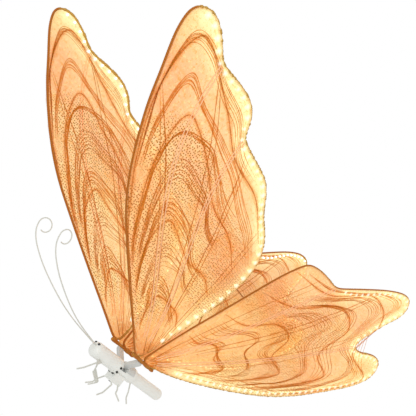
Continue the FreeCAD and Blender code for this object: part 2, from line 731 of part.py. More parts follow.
def power_button():
    """Push button with a collar that keeps it inside the lid."""
    stem = along_up(BOX_BOTTOM - BUTTON_STANDS, COLLAR_FLOOR, BUTTON_RADIUS)
    collar = along_up(COLLAR_FLOOR, COLLAR_FLOOR + BUTTON_COLLAR, BUTTON_RADIUS + 1)
    return fuse([stem, collar])


def circuit_board():
    return inside_box(0.4, BOARD_BOTTOM, BOARD_BOTTOM + BOARD_THICKNESS)


def battery_cell():
    """Flat pouch cell, rounded along its four edges that run along the body."""
    cell = inside_box(1.0, CELL_BOTTOM, CELL_TOP)
    return cell.makeFillet(CELL_ROUNDING, [edge for edge in cell.Edges if abs(edge.tangentAt(0).y) > 0.99])


def save_drive():
    save_pair("wing_axle", wing_axle_solid())
    left_gear, right_gear = wing_gears()
    save("left_wing_gear", left_gear)
    save("right_wing_gear", right_gear)
    save("drive_pinion", drive_pinion())
    save("drive_motor", drive_motor())
    save("motor_cradle", motor_cradle())
    save("front_bearing_plate", bearing_plate(PLATE_FRONT))
    save("rear_bearing_plate", bearing_plate(PLATE_REAR - PLATE_THICKNESS))
    save("axle_bushes", axle_bushes())
    save("gear_cover", gear_cover())


def save_body():
    feelers = [antenna(), mirrored(antenna())]
    beads = eyes()
    head = head_cap()
    for piece in feelers + beads:
        head = head.cut(piece)
    save("body_tube", body_tube())
    save("head_cap", largest(head))
    save("tail_tube", tail_tube())
    save("tail_cap", tail_cap())
    save("eyes", Part.makeCompound(beads))
    save("left_antenna", feelers[0])
    save("right_antenna", feelers[1])
    for name, (points, flat) in LEGS.items():
        save(name, leg(points, flat))


def save_electronics():
    save("electronics_box", electronics_box())
    save("box_lid", box_lid())
    save("box_screws", box_screws())
    save("power_button", power_button())
    save("circuit_board", circuit_board())
    save("battery_cell", battery_cell())


os.makedirs("parts", exist_ok=True)
save_wings()
save_drive()
save_body()
save_electronics()
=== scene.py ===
import json
import math
import random

import bmesh
import bpy
import numpy as np
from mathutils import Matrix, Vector
from mathutils.bvhtree import BVHTree
from mathutils.geometry import delaunay_2d_cdt
from mathutils.kdtree import KDTree


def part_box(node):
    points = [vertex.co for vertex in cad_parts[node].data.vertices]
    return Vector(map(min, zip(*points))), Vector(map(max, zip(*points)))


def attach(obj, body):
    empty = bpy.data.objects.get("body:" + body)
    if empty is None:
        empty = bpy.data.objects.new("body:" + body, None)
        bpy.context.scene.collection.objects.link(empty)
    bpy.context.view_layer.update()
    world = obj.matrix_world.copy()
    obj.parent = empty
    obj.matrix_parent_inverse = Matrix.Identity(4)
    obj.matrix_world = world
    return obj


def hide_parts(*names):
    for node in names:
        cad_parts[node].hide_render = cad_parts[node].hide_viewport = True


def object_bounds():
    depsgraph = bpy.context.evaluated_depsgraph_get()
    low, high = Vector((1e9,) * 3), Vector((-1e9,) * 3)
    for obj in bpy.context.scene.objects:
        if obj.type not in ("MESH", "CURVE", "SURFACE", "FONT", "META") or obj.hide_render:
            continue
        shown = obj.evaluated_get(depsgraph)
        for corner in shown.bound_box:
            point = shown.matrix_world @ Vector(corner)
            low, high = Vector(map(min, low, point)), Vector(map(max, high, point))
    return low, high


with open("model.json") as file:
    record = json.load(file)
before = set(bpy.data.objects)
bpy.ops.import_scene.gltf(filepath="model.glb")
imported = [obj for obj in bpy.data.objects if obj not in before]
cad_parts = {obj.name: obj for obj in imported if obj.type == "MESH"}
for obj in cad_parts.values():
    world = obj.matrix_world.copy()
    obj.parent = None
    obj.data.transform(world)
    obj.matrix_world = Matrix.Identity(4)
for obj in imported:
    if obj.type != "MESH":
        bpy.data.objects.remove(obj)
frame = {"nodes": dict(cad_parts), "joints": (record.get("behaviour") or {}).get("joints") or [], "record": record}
cad_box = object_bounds()

# A light-up butterfly: translucent printed cloth wings on bound edge wires, on a slim tube body.
# Wing places are given as (forward, up) in the body's own directions, measured from the middle
# of the body tube.  MM turns millimetres into the scene's metres.
MM = 0.001
SIDES = {"left": 1, "right": -1}
JOINTS = {joint["name"]: joint for joint in frame["joints"]}
FORWARD = -Vector(JOINTS["left_flap"]["axis"]).normalized()
UP = Vector(JOINTS["power_button_press"]["axis"]).normalized()
LEFT = Vector((1, 0, 0))


# The frame's origin is the pole grip on the tail, this far behind the middle of the body.
GRIP_TO_MIDDLE = 62
BODY_MIDDLE = FORWARD * (GRIP_TO_MIDDLE * MM)


FLAT_UNIT = 10.0             # the cloth's flat coordinates are in centimetres


def flatten(point):
    """(forward, up) of a scene point in mm, measured from the middle of the body."""
    away = point - BODY_MIDDLE
    return (away.dot(FORWARD) / MM, away.dot(UP) / MM)


# The wings spring from the middle of their root bar.
ROOT = np.array(flatten(sum((Vector(corner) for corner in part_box("left_root_bar")), Vector()) / 2))


# ------------------------------------------------------------------ small geometry helpers
def smooth_path(points, step):
    """Catmull-Rom curve through the points, sampled about every step."""
    ends = [2 * np.array(points[0]) - np.array(points[1])]
    tail = [2 * np.array(points[-1]) - np.array(points[-2])]
    knots = ends + [np.array(p, float) for p in points] + tail
    samples = []
    for a, b, c, d in zip(knots, knots[1:], knots[2:], knots[3:]):
        count = max(2, int(np.linalg.norm(c - b) / step))
        for t in np.arange(count) / count:
            samples.append(0.5 * (2 * b + (c - a) * t + (2 * a - 5 * b + 4 * c - d) * t ** 2
                                  + (3 * b - a - 3 * c + d) * t ** 3))
    samples.append(knots[-2])
    return np.array(samples)


def blob_field(places, blobs):
    """Strength at each place of a set of soft-edged oval patches."""
    field = np.zeros(len(places))
    for f, u, length, height, strength in blobs:
        away = ((places[:, 0] - f) / length) ** 2 + ((places[:, 1] - u) / height) ** 2
        field = np.maximum(field, strength * np.clip(1.5 - away, 0, 1))
    return field


def distance_to_path(places, path):
    """Distance from each place to a polyline."""
    best = np.full(len(places), np.inf)
    for a, b in zip(path[:-1], path[1:]):
        run = b - a
        share = np.clip((places - a) @ run / max(run @ run, 1e-9), 0, 1)
        best = np.minimum(best, np.linalg.norm(places - (a + share[:, None] * run), axis=1))
    return best


def distance_to_spots(places, spots):
    """Distance from each place to the nearest of some spots; far away if there are none."""
    if not len(spots):
        return np.full(len(places), 1e3)
    tree = KDTree(len(spots))
    for index, (f, u) in enumerate(spots):
        tree.insert((f, u, 0), index)
    tree.balance()
    return np.array([tree.find((f, u, 0))[2] for f, u in places])


def inside(places, loop):
    """Which places lie inside a closed loop, by counting crossings."""
    x, y = places[:, 0], places[:, 1]
    odd = np.zeros(len(places), bool)
    for (x0, y0), (x1, y1) in zip(loop, np.roll(loop, -1, axis=0)):
        crosses = (y0 > y) != (y1 > y)
        at_x = x0 + (y - y0) * (x1 - x0) / (y1 - y0 if y1 != y0 else 1e-9)
        odd ^= crosses & (x < at_x)
    return odd


def new_mesh(name, vertices, faces, material, smooth=True):
    mesh = bpy.data.meshes.new(name)
    mesh.from_pydata([tuple(v) for v in vertices], [], [tuple(f) for f in faces])
    mesh.validate()
    mesh.update()
    if smooth:
        mesh.polygons.foreach_set("use_smooth", [True] * len(mesh.polygons))
    obj = bpy.data.objects.new(name, mesh)
    bpy.context.scene.collection.objects.link(obj)
    mesh.materials.append(material)
    return obj


def paint(obj, name, values):
    """Store one number per vertex under a name that a material can read."""
    layer = obj.data.attributes.new(name, "FLOAT", "POINT")
    layer.data.foreach_set("value", np.asarray(values, np.float32))


def map_flat(obj, places):
    """UV map that holds each vertex's (forward, up) place, in units of FLAT_UNIT mm."""
    layer = obj.data.uv_layers.new(name="flat")
    for loop in obj.data.loops:
        f, u = places[loop.vertex_index]
        layer.data[loop.index].uv = (f / FLAT_UNIT, u / FLAT_UNIT)


# ------------------------------------------------------------------ material helpers
class Nodes:
    """Short-hand for building one node material."""

    def __init__(self, name):
        self.material = bpy.data.materials.new(name)
        self.material.use_nodes = True
        self.tree = self.material.node_tree
        self.tree.nodes.clear()
        self.output = self.tree.nodes.new("ShaderNodeOutputMaterial")

    def add(self, kind, inputs=None, **settings):
        node = self.tree.nodes.new("ShaderNode" + kind)
        for key, value in settings.items():
            setattr(node, key, value)
        for key, value in (inputs or {}).items():
            if isinstance(value, bpy.types.NodeSocket):
                self.tree.links.new(value, node.inputs[key])
            else:
                node.inputs[key].default_value = value
        return node

    def math(self, operation, *values):
        node = self.add("Math", operation=operation)
        for index, value in enumerate(values):
            if isinstance(value, bpy.types.NodeSocket):
                self.tree.links.new(value, node.inputs[index])
            else:
                node.inputs[index].default_value = value
        return node.outputs[0]

    def mix(self, factor, first, second):
        node = self.add("Mix", data_type="RGBA")
        for socket, value in ((node.inputs[0], factor), (node.inputs[6], first), (node.inputs[7], second)):
            if isinstance(value, bpy.types.NodeSocket):
                self.tree.links.new(value, socket)
            else:
                socket.default_value = value
        return node.outputs[2]

    def ramp(self, factor, stops):
        node = self.add("ValToRGB", {"Fac": factor})
        elements = node.color_ramp.elements
        while len(elements) < len(stops):
            elements.new(0.5)
        for element, (place, value) in zip(elements, stops):
            element.position = place
            element.color = value if len(value) == 4 else (*value, 1)
        return node.outputs["Color"]

    def attribute(self, name):
        return self.add("Attribute", attribute_name=name).outputs["Fac"]

    def noise(self, scale, detail=3.0, vector=None, roughness=0.55):
        inputs = {"Scale": scale, "Detail": detail, "Roughness": roughness}
        if vector is None:
            vector = self.add("TexCoord").outputs["Object"]
        inputs["Vector"] = vector
        return self.add("TexNoise", inputs).outputs["Fac"]

    def bump(self, height, strength, distance):
        return self.add("Bump", {"Height": height, "Strength": strength, "Distance": distance}).outputs[0]

    def finish(self, surface):
        self.tree.links.new(surface, self.output.inputs["Surface"])
        return self.material


def grey(value):
    return (value, value, value, 1)


def solid_material(name, light, dark, roughness, scale, bump_size=0.0, metallic=0.0, coat=0.0):
    """Moulded or metal surface: two tones mottled by noise, uneven gloss and a fine grain."""
    n = Nodes(name)
    broad = n.noise(scale, 4)
    fine = n.noise(scale * 14, 3)
    tone = n.mix(n.math("MULTIPLY", broad, 0.9), dark, light)
    gloss = n.math("ADD", roughness - 0.08, n.math("MULTIPLY", fine, 0.16))
    normal = n.bump(fine, 0.35, bump_size)
    shader = n.add("BsdfPrincipled", {
        "Base Color": tone, "Roughness": gloss, "Metallic": metallic, "Coat Weight": coat, "Normal": normal,
    })
    return n.finish(shader.outputs[0])


# ------------------------------------------------------------------ materials
CLOTH_GROUND = (1.0, 0.71, 0.34, 1)
CLOTH_DEEP = (1.0, 0.56, 0.20, 1)
CLOTH_PEACH = (1.0, 0.53, 0.30, 1)
CLOTH_WASH = (0.98, 0.40, 0.08, 1)
CLOTH_LIT = (1.0, 0.90, 0.48, 1)
CLOTH_CREASE_HIGHLIGHT = (1.0, 0.78, 0.52, 1)
CLOTH_ROOT = (0.85, 0.31, 0.07, 1)
CLOTH_SPECK = (0.90, 0.36, 0.04, 1)
CLOTH_FLECK_AND_GLINT = (1.0, 0.86, 0.40, 1)
CLOTH_DOT = (0.40, 0.14, 0.01, 1)
CREASE_REACH = 260.0         # in mm from the root
CLOTH_COVER = 0.68           # share of light that the cloth stops


def root_crease_highlights(n, flat):
    """Painted highlights along fine creases that fan out from the wing's root, fading to nothing at CREASE_REACH.
    """
    middle = (ROOT[0] / FLAT_UNIT, ROOT[1] / FLAT_UNIT, 0)
    away = n.add("VectorMath", {0: flat, 1: middle}, operation="SUBTRACT").outputs[0]
    parts = n.add("SeparateXYZ", {0: away}).outputs
    bearing = n.math("MULTIPLY", n.math("ARCTAN2", parts[1], parts[0]), 16.0)
    noise = n.add("TexNoise", {"W": bearing, "Scale": 1.0, "Detail": 3.0}, noise_dimensions="1D")
    crease_highlight = noise.outputs["Fac"]
    reach = n.add("VectorMath", {0: away}, operation="LENGTH").outputs["Value"]
    near = n.math("MAXIMUM", n.math("SUBTRACT", 1.0, n.math("DIVIDE", reach, CREASE_REACH / FLAT_UNIT)), 0.0)
    return n.ramp(crease_highlight, [(0.42, grey(0)), (0.62, grey(1))]), near


def cloth_material():
    """Sheer printed chiffon: peach ground, brown dots, with painted lamp light that makes it creamy and glowing
    near the lamps and in soft patches.
    """
    n = Nodes("wing_chiffon")
    flat = n.add("UVMap", uv_map="flat").outputs[0]
    mottled = n.ramp(n.noise(0.35, 5, flat), [(0.36, grey(0)), (0.64, grey(1))])
    streak = n.add("Mapping", {"Vector": flat, "Scale": (0.5, 2.2, 1.0), "Rotation": (0, 0, 0.2)})
    stretched = streak.outputs[0]
    washes = n.ramp(n.noise(0.6, 4, stretched), [(0.45, grey(0)), (0.7, grey(1))])
    ground = n.mix(mottled, CLOTH_DEEP, CLOTH_GROUND)
    ground = n.mix(n.math("MULTIPLY", n.attribute("peach"), 0.85), ground, CLOTH_PEACH)
    ground = n.mix(n.math("MULTIPLY", washes, 0.45), ground, CLOTH_WASH)
    # Painted lamp light: the cloth turns creamier near the lamps and in the patches of painted glow.
    glow = n.attribute("lit")
    ground = n.mix(glow, ground, CLOTH_LIT)
    crease_highlight, near = root_crease_highlights(n, flat)
    # Painted highlight: paler streaks along the creases near the root.
    ground = n.mix(n.math("MULTIPLY", n.math("MULTIPLY", crease_highlight, near), 0.7), ground, CLOTH_CREASE_HIGHLIGHT)
    ground = n.mix(n.math("POWER", near, 5.0), ground, CLOTH_ROOT)
    speck = n.ramp(n.noise(2.1, 5, flat, 0.8), [(0.53, grey(0)), (0.60, grey(1))])
    ground = n.mix(n.math("MULTIPLY", speck, n.math("MULTIPLY_ADD", glow, -0.35, 0.7)), ground, CLOTH_SPECK)
    # Pale flecks: partly printed flecks, partly painted glints that grow stronger under the painted lamp glow.
    elsewhere = n.add("Mapping", {"Vector": flat, "Location": (31, 17, 0)}).outputs[0]
    fleck_and_glint = n.ramp(n.noise(1.9, 5, elsewhere, 0.8), [(0.54, grey(0)), (0.61, grey(1))])
    ground = n.mix(n.math("MULTIPLY", fleck_and_glint, n.math("MULTIPLY_ADD", glow, 0.2, 0.6)), ground, CLOTH_FLECK_AND_GLINT)
    dots = n.add("TexVoronoi", {"Vector": flat, "Scale": 2.6, "Randomness": 0.6}, voronoi_dimensions="2D")
    dot = n.math("LESS_THAN", dots.outputs["Distance"], n.math("MULTIPLY", n.attribute("dots"), 0.31))
    ground = n.mix(n.math("MULTIPLY", dot, 0.9), ground, CLOTH_DOT)
    weave_across = n.add("TexWave", {"Vector": flat, "Scale": 4.0, "Distortion": 0.6}, bands_direction="X")
    weave_along = n.add("TexWave", {"Vector": flat, "Scale": 4.0, "Distortion": 0.6}, bands_direction="Y")
    weave = n.math("ADD", weave_across.outputs["Fac"], weave_along.outputs["Fac"])
    normal = n.bump(weave, 0.2, 0.2 * MM)
    front = n.add("BsdfDiffuse", {"Color": ground, "Roughness": 0.6, "Normal": normal})
    through = n.add("BsdfTranslucent", {"Color": ground, "Normal": normal})
    sheen = n.add("BsdfSheen", {"Color": (1.0, 0.8, 0.6, 1), "Roughness": 0.4, "Normal": normal})
    body = n.add("MixShader", {0: 0.5, 1: front.outputs[0], 2: through.outputs[0]})
    body = n.add("MixShader", {0: 0.06, 1: body.outputs[0], 2: sheen.outputs[0]})
    # Painted glow: the cloth emits a little light everywhere, and more where the painted lamp light is.
    lit = n.add("Emission", {"Color": ground, "Strength": n.math("MULTIPLY_ADD", glow, 0.22, 0.12)})
    body = n.add("AddShader", {0: body.outputs[0], 1: lit.outputs[0]})
    clear = n.add("BsdfTransparent", {"Color": ground})
    cover = n.math("MULTIPLY_ADD", weave, 0.06, CLOTH_COVER)
    return n.finish(n.add("MixShader", {0: cover, 1: clear.outputs[0], 2: body.outputs[0]}).outputs[0])


def ink_material():
    """Print on the cloth, and painted shade in the root's pleats: orange to brown, broken up like pigment on a
    weave.
    """
    n = Nodes("print_ink")
    flat = n.add("UVMap", uv_map="flat").outputs[0]
    ink = n.attribute("ink")
    grain = n.noise(3.0, 4, flat)
    tone = n.ramp(n.math("ADD", ink, n.math("MULTIPLY_ADD", grain, 0.3, -0.15)), [
        (0.1, (0.94, 0.42, 0.05)), (0.45, (0.70, 0.26, 0.02)), (0.9, (0.38, 0.12, 0.01)),
    ])
    edge = n.attribute("across")
    soft = n.math("SUBTRACT", 1.0, n.math("POWER", edge, 2.2))
    cover = n.math("MULTIPLY", soft, n.math("MULTIPLY_ADD", grain, 1.3, 0.15))
    cover = n.math("MULTIPLY", n.math("MINIMUM", cover, 1.0), n.attribute("strength"))
    front = n.add("BsdfDiffuse", {"Color": tone})
    through = n.add("BsdfTranslucent", {"Color": tone})
    pigment = n.add("MixShader", {0: 0.5, 1: front.outputs[0], 2: through.outputs[0]})
    clear = n.add("BsdfTransparent")
    return n.finish(n.add("MixShader", {0: cover, 1: clear.outputs[0], 2: pigment.outputs[0]}).outputs[0])


def halo_material():
    """Pool of light that a lamp throws on the cloth."""
    n = Nodes("lamp_pool")
    rim = n.attribute("rim")
    fade = n.math("MULTIPLY", n.math("POWER", n.math("SUBTRACT", 1.0, rim), 1.2), 0.95)
    light = n.add("Emission", {"Color": (1.0, 0.97, 0.82, 1), "Strength": 1.2})
    clear = n.add("BsdfTransparent")
    return n.finish(n.add("MixShader", {0: fade, 1: clear.outputs[0], 2: light.outputs[0]}).outputs[0])


def binding_material():
    """Thread-bound cloth tape round the edge wire: dark on the leading edges, gold on the rest, with painted shade
    in the grooves between its turns.
    """
    n = Nodes("edge_binding")
    lead = n.attribute("lead")
    grain = n.noise(900.0, 3)
    gold = n.mix(grain, (0.40, 0.22, 0.03, 1), (0.74, 0.48, 0.12, 1))
    brown = n.mix(grain, (0.30, 0.08, 0.01, 1), (0.60, 0.20, 0.02, 1))
    tone = n.mix(lead, gold, brown)
    # Painted shade: darker in the grooves between the turns of the tape.
    tone = n.mix(n.math("MULTIPLY", n.attribute("groove"), 0.6), tone, (0.26, 0.08, 0.01, 1))
    shader = n.add("BsdfPrincipled", {"Base Color": tone, "Roughness": 0.8, "Specular IOR Level": 0.15,
                                      "Sheen Weight": 0.05, "Normal": n.bump(grain, 0.5, 0.15 * MM)})
    return n.finish(shader.outputs[0])


def lamp_material():
    """Clear moulded lamp, lit from within."""
    n = Nodes("lamp_glass")
    facing = n.add("LayerWeight", {"Blend": 0.4}).outputs["Facing"]
    strength = n.math("MULTIPLY_ADD", facing, -2.0, 4.0)
    glow = n.add("Emission", {"Color": (1.0, 0.96, 0.84, 1), "Strength": strength})
    skin = n.add("BsdfPrincipled", {"Base Color": (1, 0.98, 0.92, 1), "Roughness": n.noise(700.0, 2),
                                    "Transmission Weight": 0.5})
    return n.finish(n.add("MixShader", {0: 0.7, 1: skin.outputs[0], 2: glow.outputs[0]}).outputs[0])


# ------------------------------------------------------------------ wings
class WingSheet:
    """One cloth panel: its flat outline, taken from the CAD solid, and the sheet built inside it."""

    def __init__(self, node, side):
        mesh = bmesh.new()
        mesh.from_mesh(frame["nodes"][node].data)
        bmesh.ops.remove_doubles(mesh, verts=mesh.verts, dist=0.01 * MM)
        outward = LEFT * side
        outer = [face for face in mesh.faces if face.normal.dot(outward) > 0.5]
        self.normal = sum((face.normal * face.calc_area() for face in outer), Vector()).normalized()
        self.on_plane = outer[0].verts[0].co.copy()
        self.loop = self.rim_of(outer)
        mesh.free()

    def rim_of(self, faces):
        """The outline as an ordered closed loop of (forward, up) in mm, evenly resampled."""
        members = set(faces)
        follows = {}
        for face in faces:
            for loop in face.loops:
                if not any(other in members for other in loop.edge.link_faces if other != face):
                    follows[loop.vert] = loop.link_loop_next.vert
        chain = []
        while follows:
            ring = [next(iter(follows))]
            while ring[-1] in follows:
                ring.append(follows.pop(ring[-1]))
            chain = max(chain, ring[:-1], key=len)
        points = np.array([flatten(vert.co) for vert in chain])
        closed = np.vstack([points, points[:1]])
        lengths = np.concatenate([[0], np.cumsum(np.linalg.norm(np.diff(closed, axis=0), axis=1))])
        marks = np.linspace(0, lengths[-1], int(lengths[-1] / RIM_STEP), endpoint=False)
        return np.stack([np.interp(marks, lengths, closed[:, k]) for k in (0, 1)], axis=1)

    def place(self, f, u, lift=0.0):
        """Point of the outer face above (forward, up) in mm, raised off it by lift mm."""
        across = BODY_MIDDLE + FORWARD * (f * MM) + UP * (u * MM)
        reach = (self.on_plane - across).dot(self.normal) / LEFT.dot(self.normal)
        return across + LEFT * reach + self.normal * (lift * MM)


RIM_STEP = 3.0
SHEET_STEP = 5.0
LAMP_GLOW = 17.0             # how far a lamp lightens the cloth, in mm


def mesh_islands(obj):
    """Vertex positions of each separate shell of a CAD node."""
    mesh = bmesh.new()
    mesh.from_mesh(obj.data)
    bmesh.ops.remove_doubles(mesh, verts=mesh.verts, dist=0.001 * MM)
    seen = set()
    shells = []
    for first in mesh.verts:
        if first in seen:
            continue
        seen.add(first)
        stack = [first]
        shell = []
        while stack:
            vert = stack.pop()
            shell.append(vert.co.copy())
            for edge in vert.link_edges:
                other = edge.other_vert(vert)
                if other not in seen:
                    seen.add(other)
                    stack.append(other)
        shells.append(shell)
    mesh.free()
    return shells


def sheet_points(loop):
    """Hexagonal grid of points inside a loop, clear of its edge."""
    low, high = loop.min(axis=0), loop.max(axis=0)
    rows = np.arange(low[1], high[1], SHEET_STEP * math.sqrt(3) / 2)
    points = []
    for index, row in enumerate(rows):
        shift = SHEET_STEP / 2 * (index % 2)
        points += [(f, row) for f in np.arange(low[0] + shift, high[0], SHEET_STEP)]
    points = np.array(points)
    points = points[inside(points, loop)]
    closed = np.vstack([loop, loop[:1]])
    return points[distance_to_path(points, closed) > SHEET_STEP * 0.6]


def billow(places, rim_distance, rib_distance):
    """How far the stretched cloth stands off its flat plane, in mm."""
    slack = np.clip(np.minimum(rim_distance - 12, rib_distance - 4) / 40, 0, 1)
    slack = slack * slack * (3 - 2 * slack)
    away = places - ROOT
    bearing = np.arctan2(away[:, 1], away[:, 0])
    reach = np.linalg.norm(away, axis=1)
    pleats = np.sin(bearing * 46) * np.clip(1.4 - reach / 220, 0, 1) * 0.9
    ripples = np.sin(places[:, 0] / 23 + np.sin(places[:, 1] / 31)) * np.sin(places[:, 1] / 27) * 1.1
    return slack * (3.0 + pleats + ripples)


def build_sheet(sheet, name, rib_points, lamps, patches, material):
    """The cloth itself, pulled taut between edge wire and ribs and slightly billowed."""
    interior = sheet_points(sheet.loop)
    places = np.vstack([sheet.loop, interior])
    count = len(sheet.loop)
    rim = [(i, (i + 1) % count) for i in range(count)]
    result = delaunay_2d_cdt([Vector(p) for p in places], rim, [list(range(count))], 1, 1e-6)
    places = np.array([tuple(v) for v in result[0]])
    faces = [tuple(face) for face in result[2]]
    closed = np.vstack([sheet.loop, sheet.loop[:1]])
    rim_distance = distance_to_path(places, closed)
    rib_distance = distance_to_spots(places, rib_points)
    lamp_distance = distance_to_spots(places, lamps)
    lift = billow(places, rim_distance, rib_distance)
    vertices = [sheet.place(f, u, h) for (f, u), h in zip(places, lift)]
    obj = new_mesh(name, vertices, faces, material)
    map_flat(obj, places)
    dots, peach, painted_glow = (blob_field(places, blobs) for blobs in patches)
    glow = np.exp(-(lamp_distance / LAMP_GLOW) ** 2)
    # Painted light: lamp glow and soft patches of painted glow, which lighten the cloth and make it emit.
    paint(obj, "lit", np.clip(0.75 * glow + 0.35 * painted_glow, 0, 1))
    paint(obj, "dots", dots)
    paint(obj, "peach", peach)
    return obj


# For each wing: the side its dark leading binding faces, and the fan of painted shade strokes
# in the pleats at its root as (first bearing, last bearing, count), bearings in degrees.
WINGS = {
    "forewing": ((0.86, -0.5), (34, 108, 18)),
    "hindwing": ((0.96, 0.28), (112, 172, 16)),
}

# The print: bundles of wavy lines cross the wing in bands that follow its outer edge, and a few
# fine veins run out from the root.  Reaches are shares of the way from the root to the edge.
VEINS = 5
VEIN_LINES = 2
VEIN_REACH = (0.16, 0.97)
BUNDLE_SPREAD = 0.12         # share of the gap to the next vein that a bundle fills
BAND_REACHES = (0.24, 0.36, 0.48, 0.60, 0.72, 0.83, 0.92)
BAND_LINES = 6
BAND_WAVE = 0.03             # how far a band sways in and out, as a share of the same way
PATCHES = 6
OUTER_SHARE = 0.45           # the outer edge is where the outline is further out than this


def outer_edge(loop):
    """The stretch of an outline that faces away from the root, from low bearing to high."""
    reach = np.linalg.norm(loop - ROOT, axis=1)
    edge = np.roll(loop, -int(reach.argmin()), axis=0)
    edge = edge[np.linalg.norm(edge - ROOT, axis=1) > OUTER_SHARE * reach.max()]
    bearing = np.arctan2(edge[:, 1] - ROOT[1], edge[:, 0] - ROOT[0])
    return edge if bearing[0] < bearing[-1] else edge[::-1]


def edge_point(edge, share):
    """Point part of the way along the outer edge."""
    return edge[int(np.clip(share, 0, 1) * (len(edge) - 1))]


def vein_path(aim, bow):
    """Bowed line from near the root to near a point of the outer edge."""
    run = aim - ROOT
    across = np.array([-run[1], run[0]])
    shares = np.linspace(*VEIN_REACH, 6)
    return [ROOT + run * share + across * (bow * math.sin(math.pi * share)) for share in shares]


def vein_flows(edge):
    """A bundle of lines for each vein: (first line, last line, count, width, ink)."""
    flows = []
    for index in range(VEINS):
        share = (index + random.uniform(0.3, 0.6)) / VEINS
        bow = random.uniform(-0.05, 0.05)
        first = vein_path(edge_point(edge, share), bow)
        last = vein_path(edge_point(edge, share + BUNDLE_SPREAD / VEINS), bow + random.uniform(0.01, 0.05))
        flows.append((first, last, VEIN_LINES, random.uniform(1.2, 1.7), random.uniform(0.35, 0.55)))
    return flows


def band_path(edge, start, end, reach):
    """Wavy line across the wing between two shares of its outer edge."""
    phase = random.uniform(0, 2 * math.pi)
    path = []
    for share in np.linspace(start, end, 8):
        sway = BAND_WAVE * math.sin(phase + 7 * share)
        path.append(ROOT + (edge_point(edge, share) - ROOT) * min(reach + sway, 0.97))
    return path


def band_flows(edge):
    """Bundles of wavy lines that spread and close up as they cross the wing."""
    flows = []
    for reach in BAND_REACHES:
        start = random.uniform(0.0, 0.3)
        end = random.uniform(0.7, 1.0)
        near = band_path(edge, start, end, reach)
        far = band_path(edge, start, end, reach + 0.05)
        flows.append((near, far, BAND_LINES, random.uniform(1.0, 1.6), random.uniform(0.3, 0.5)))
    return flows


def wash_strokes(edge):
    """Wide soft strokes across the wing under every other band, each with a darker fine line."""
    strokes = []
    for reach in BAND_REACHES[::2]:
        path = band_path(edge, 0.05, 0.95, reach + 0.02)
        strokes.append((path, random.uniform(6, 9), random.uniform(0.1, 0.22)))
        strokes.append((path, random.uniform(1.4, 2.0), random.uniform(0.45, 0.6)))
    return strokes


def tone_patches(edge):
    """Soft ovals (forward, up, half-length, half-height, strength) of dots, peach and painted lamp glow."""
    size = 1.6 * np.ptp(edge, axis=0).max() / PATCHES
    dots, peach, painted_glow = [], [], []
    for index in range(PATCHES):
        share = (index + 0.5) / PATCHES
        # The last two kinds are patches of painted lamp glow, not print.
        kinds = ((dots, 0.62, 0.9), (peach, 0.78, 0.9), (painted_glow, 0.34, 1.0), (painted_glow, 0.92, 0.8))
        for patches, reach, strength in kinds:
            aim = edge_point(edge, share + random.uniform(-0.06, 0.06))
            f, u = ROOT + (aim - ROOT) * (reach + random.uniform(-0.06, 0.06))
            patches.append((f, u, size * 0.8, size * 0.45, strength * random.uniform(0.7, 1.0)))
    return dots, peach, painted_glow


def root_pleat_shade(first_bearing, last_bearing, count):
    """Painted shade: short dark strokes in the pleats that spread from the root, where the gathered cloth is
    bound.
    """
    strokes = []
    for index in range(count):
        bearing = math.radians(first_bearing + (last_bearing - first_bearing) * (index + 0.5) / count)
        start = random.uniform(10, 22)
        length = random.uniform(18, 60)
        points = []
        for share in (0.0, 0.5, 1.0):
            reach = start + length * share
            sway = random.uniform(-1.0, 1.0)
            points.append((ROOT[0] + reach * math.cos(bearing) + sway, ROOT[1] + reach * math.sin(bearing)))
        strokes.append((points, random.uniform(0.9, 1.8), random.uniform(0.2, 0.7)))
    return strokes


def all_strokes(edge, fan):
    """Every stroke to draw, as (points, width, ink): ink from 0 (soft orange) to 1 (brown). The root's strokes are
    painted shade in its pleats; the rest are print.
    """
    # The strokes at the root are painted shade in the pleats, drawn with the print's ink.
    drawn = wash_strokes(edge) + root_pleat_shade(*fan)
    for first, last, count, width, ink in vein_flows(edge) + band_flows(edge):
        a = smooth_path(first, 8)
        b = smooth_path(last, 8)
        marks = np.linspace(0, 1, 9)
        a = np.stack([np.interp(marks, np.linspace(0, 1, len(a)), a[:, k]) for k in (0, 1)], axis=1)
        b = np.stack([np.interp(marks, np.linspace(0, 1, len(b)), b[:, k]) for k in (0, 1)], axis=1)
        for share in (np.arange(count) + 0.5) / count:
            wobble = np.array([random.uniform(-1.4, 1.4) for _ in marks])
            path = a * (1 - share) + b * share
            path[:, 1] += wobble
            drawn.append((path, width * random.uniform(0.7, 1.3), ink * random.uniform(0.8, 1.2)))
    return drawn


def drape(tree, sheet, f, u, lift):
    """Point on the billowed cloth above (forward, up), raised by lift mm."""
    start = sheet.place(f, u, 30)
    hit = tree.ray_cast(start, -sheet.normal)
    spot = hit[0] if hit[0] is not None else sheet.place(f, u)
    return spot + sheet.normal * (lift * MM)


WASH_WIDTH = 4.0             # strokes wider than this are soft washes rather than lines


